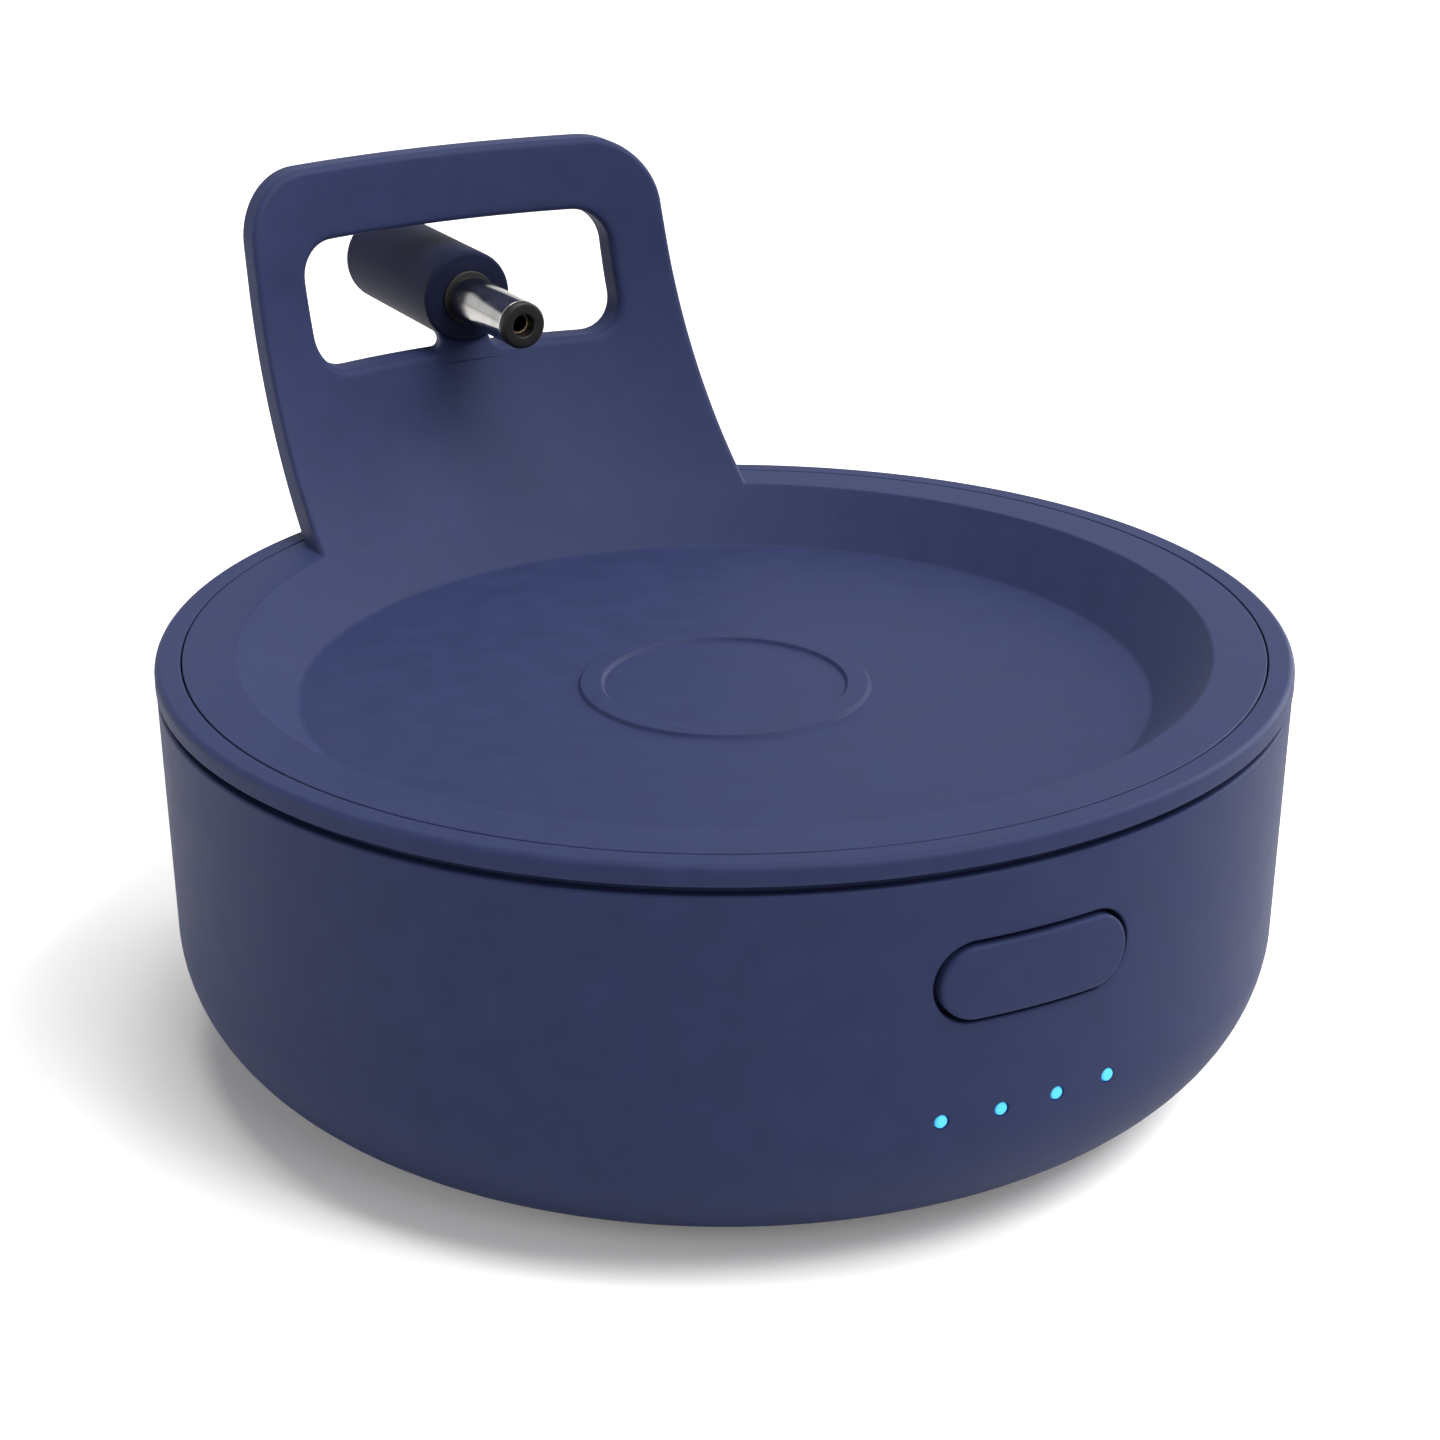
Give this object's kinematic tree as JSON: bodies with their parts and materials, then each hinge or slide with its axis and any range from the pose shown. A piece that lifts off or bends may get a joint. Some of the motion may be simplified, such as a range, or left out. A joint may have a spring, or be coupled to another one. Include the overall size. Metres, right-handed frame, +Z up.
{
  "type": "speaker battery base",
  "caption": "Round battery base with a dished top, an upright windowed arm that carries a barrel plug, a pressable power button and charge lights.",
  "frame": {"origin": "centre of the underside, on the table", "axes": "+Z up; +Y towards the upright arm, so the button and the charge lights face -Y; the plug points along -Y"},
  "size_m": [0.104, 0.1276, 0.0726],
  "materials": {
    "pad_rubber": "matt moulded rubber pad",
    "case_plastic": "soft-touch navy plastic, fine eggshell grain",
    "plug_black": "black moulded plastic",
    "plug_metal": "nickel plated",
    "contact_brass": "turned brass",
    "lead_cover": "soft lead insulation",
    "plunger_plastic": "pale acetal",
    "circuit_board": "green solder mask",
    "light_blue": "clear pipe lit cyan-blue",
    "light_chip": "white chip with a clear dome",
    "inner_plastic": "plain moulded plastic",
    "cell_wrap": "shrink sleeve",
    "foam": "closed-cell foam",
    "chip_black": "moulded epoxy",
    "can_aluminium": "drawn can"
  },
  "bodies": {
    "base": {"base_pad": "pad_rubber", "lower_shell": "case_plastic", "top_ring": "case_plastic", "dish_tray_and_arm": "case_plastic", "arm_rear_cover": "case_plastic", "plug_housing": "case_plastic", "plug_rear_cap": "case_plastic", "plug_collar": "plug_black", "plug_insulator": "plug_black", "pipe_holder": "plug_black", "inlet_body": "plug_black", "switch_body": "plug_black", "plug_sleeve": "plug_metal", "cell_tabs": "plug_metal", "case_screws": "plug_metal", "board_screws": "plug_metal", "plug_contact": "contact_brass", "inlet_pin": "contact_brass", "plug_lead": "lead_cover", "battery_leads": "lead_cover", "inlet_leads": "lead_cover", "front_ribbon": "lead_cover", "front_board": "circuit_board", "main_board": "circuit_board", "guard_board": "circuit_board", "light_pipe_1": "light_blue", "light_pipe_2": "light_blue", "light_pipe_3": "light_blue", "light_pipe_4": "light_blue", "light_chip_1": "light_chip", "light_chip_2": "light_chip", "light_chip_3": "light_chip", "light_chip_4": "light_chip", "inlet_bracket": "inner_plastic", "cell_cradle": "inner_plastic", "board_sockets": "inner_plastic", "cell_left": "cell_wrap", "cell_right": "cell_wrap", "cell_foam": "foam", "chips": "chip_black", "boost_coil": "chip_black", "capacitors": "can_aluminium"},
    "button": {"button_cap": "case_plastic", "switch_plunger": "plunger_plastic"}
  },
  "joints": [
    {"name": "button_press", "type": "slide", "parent": "base", "child": "button", "axis": [0, 1, 0], "range_m": [0, 0.0005], "stiffness_N_per_m": 1500}
  ]
}
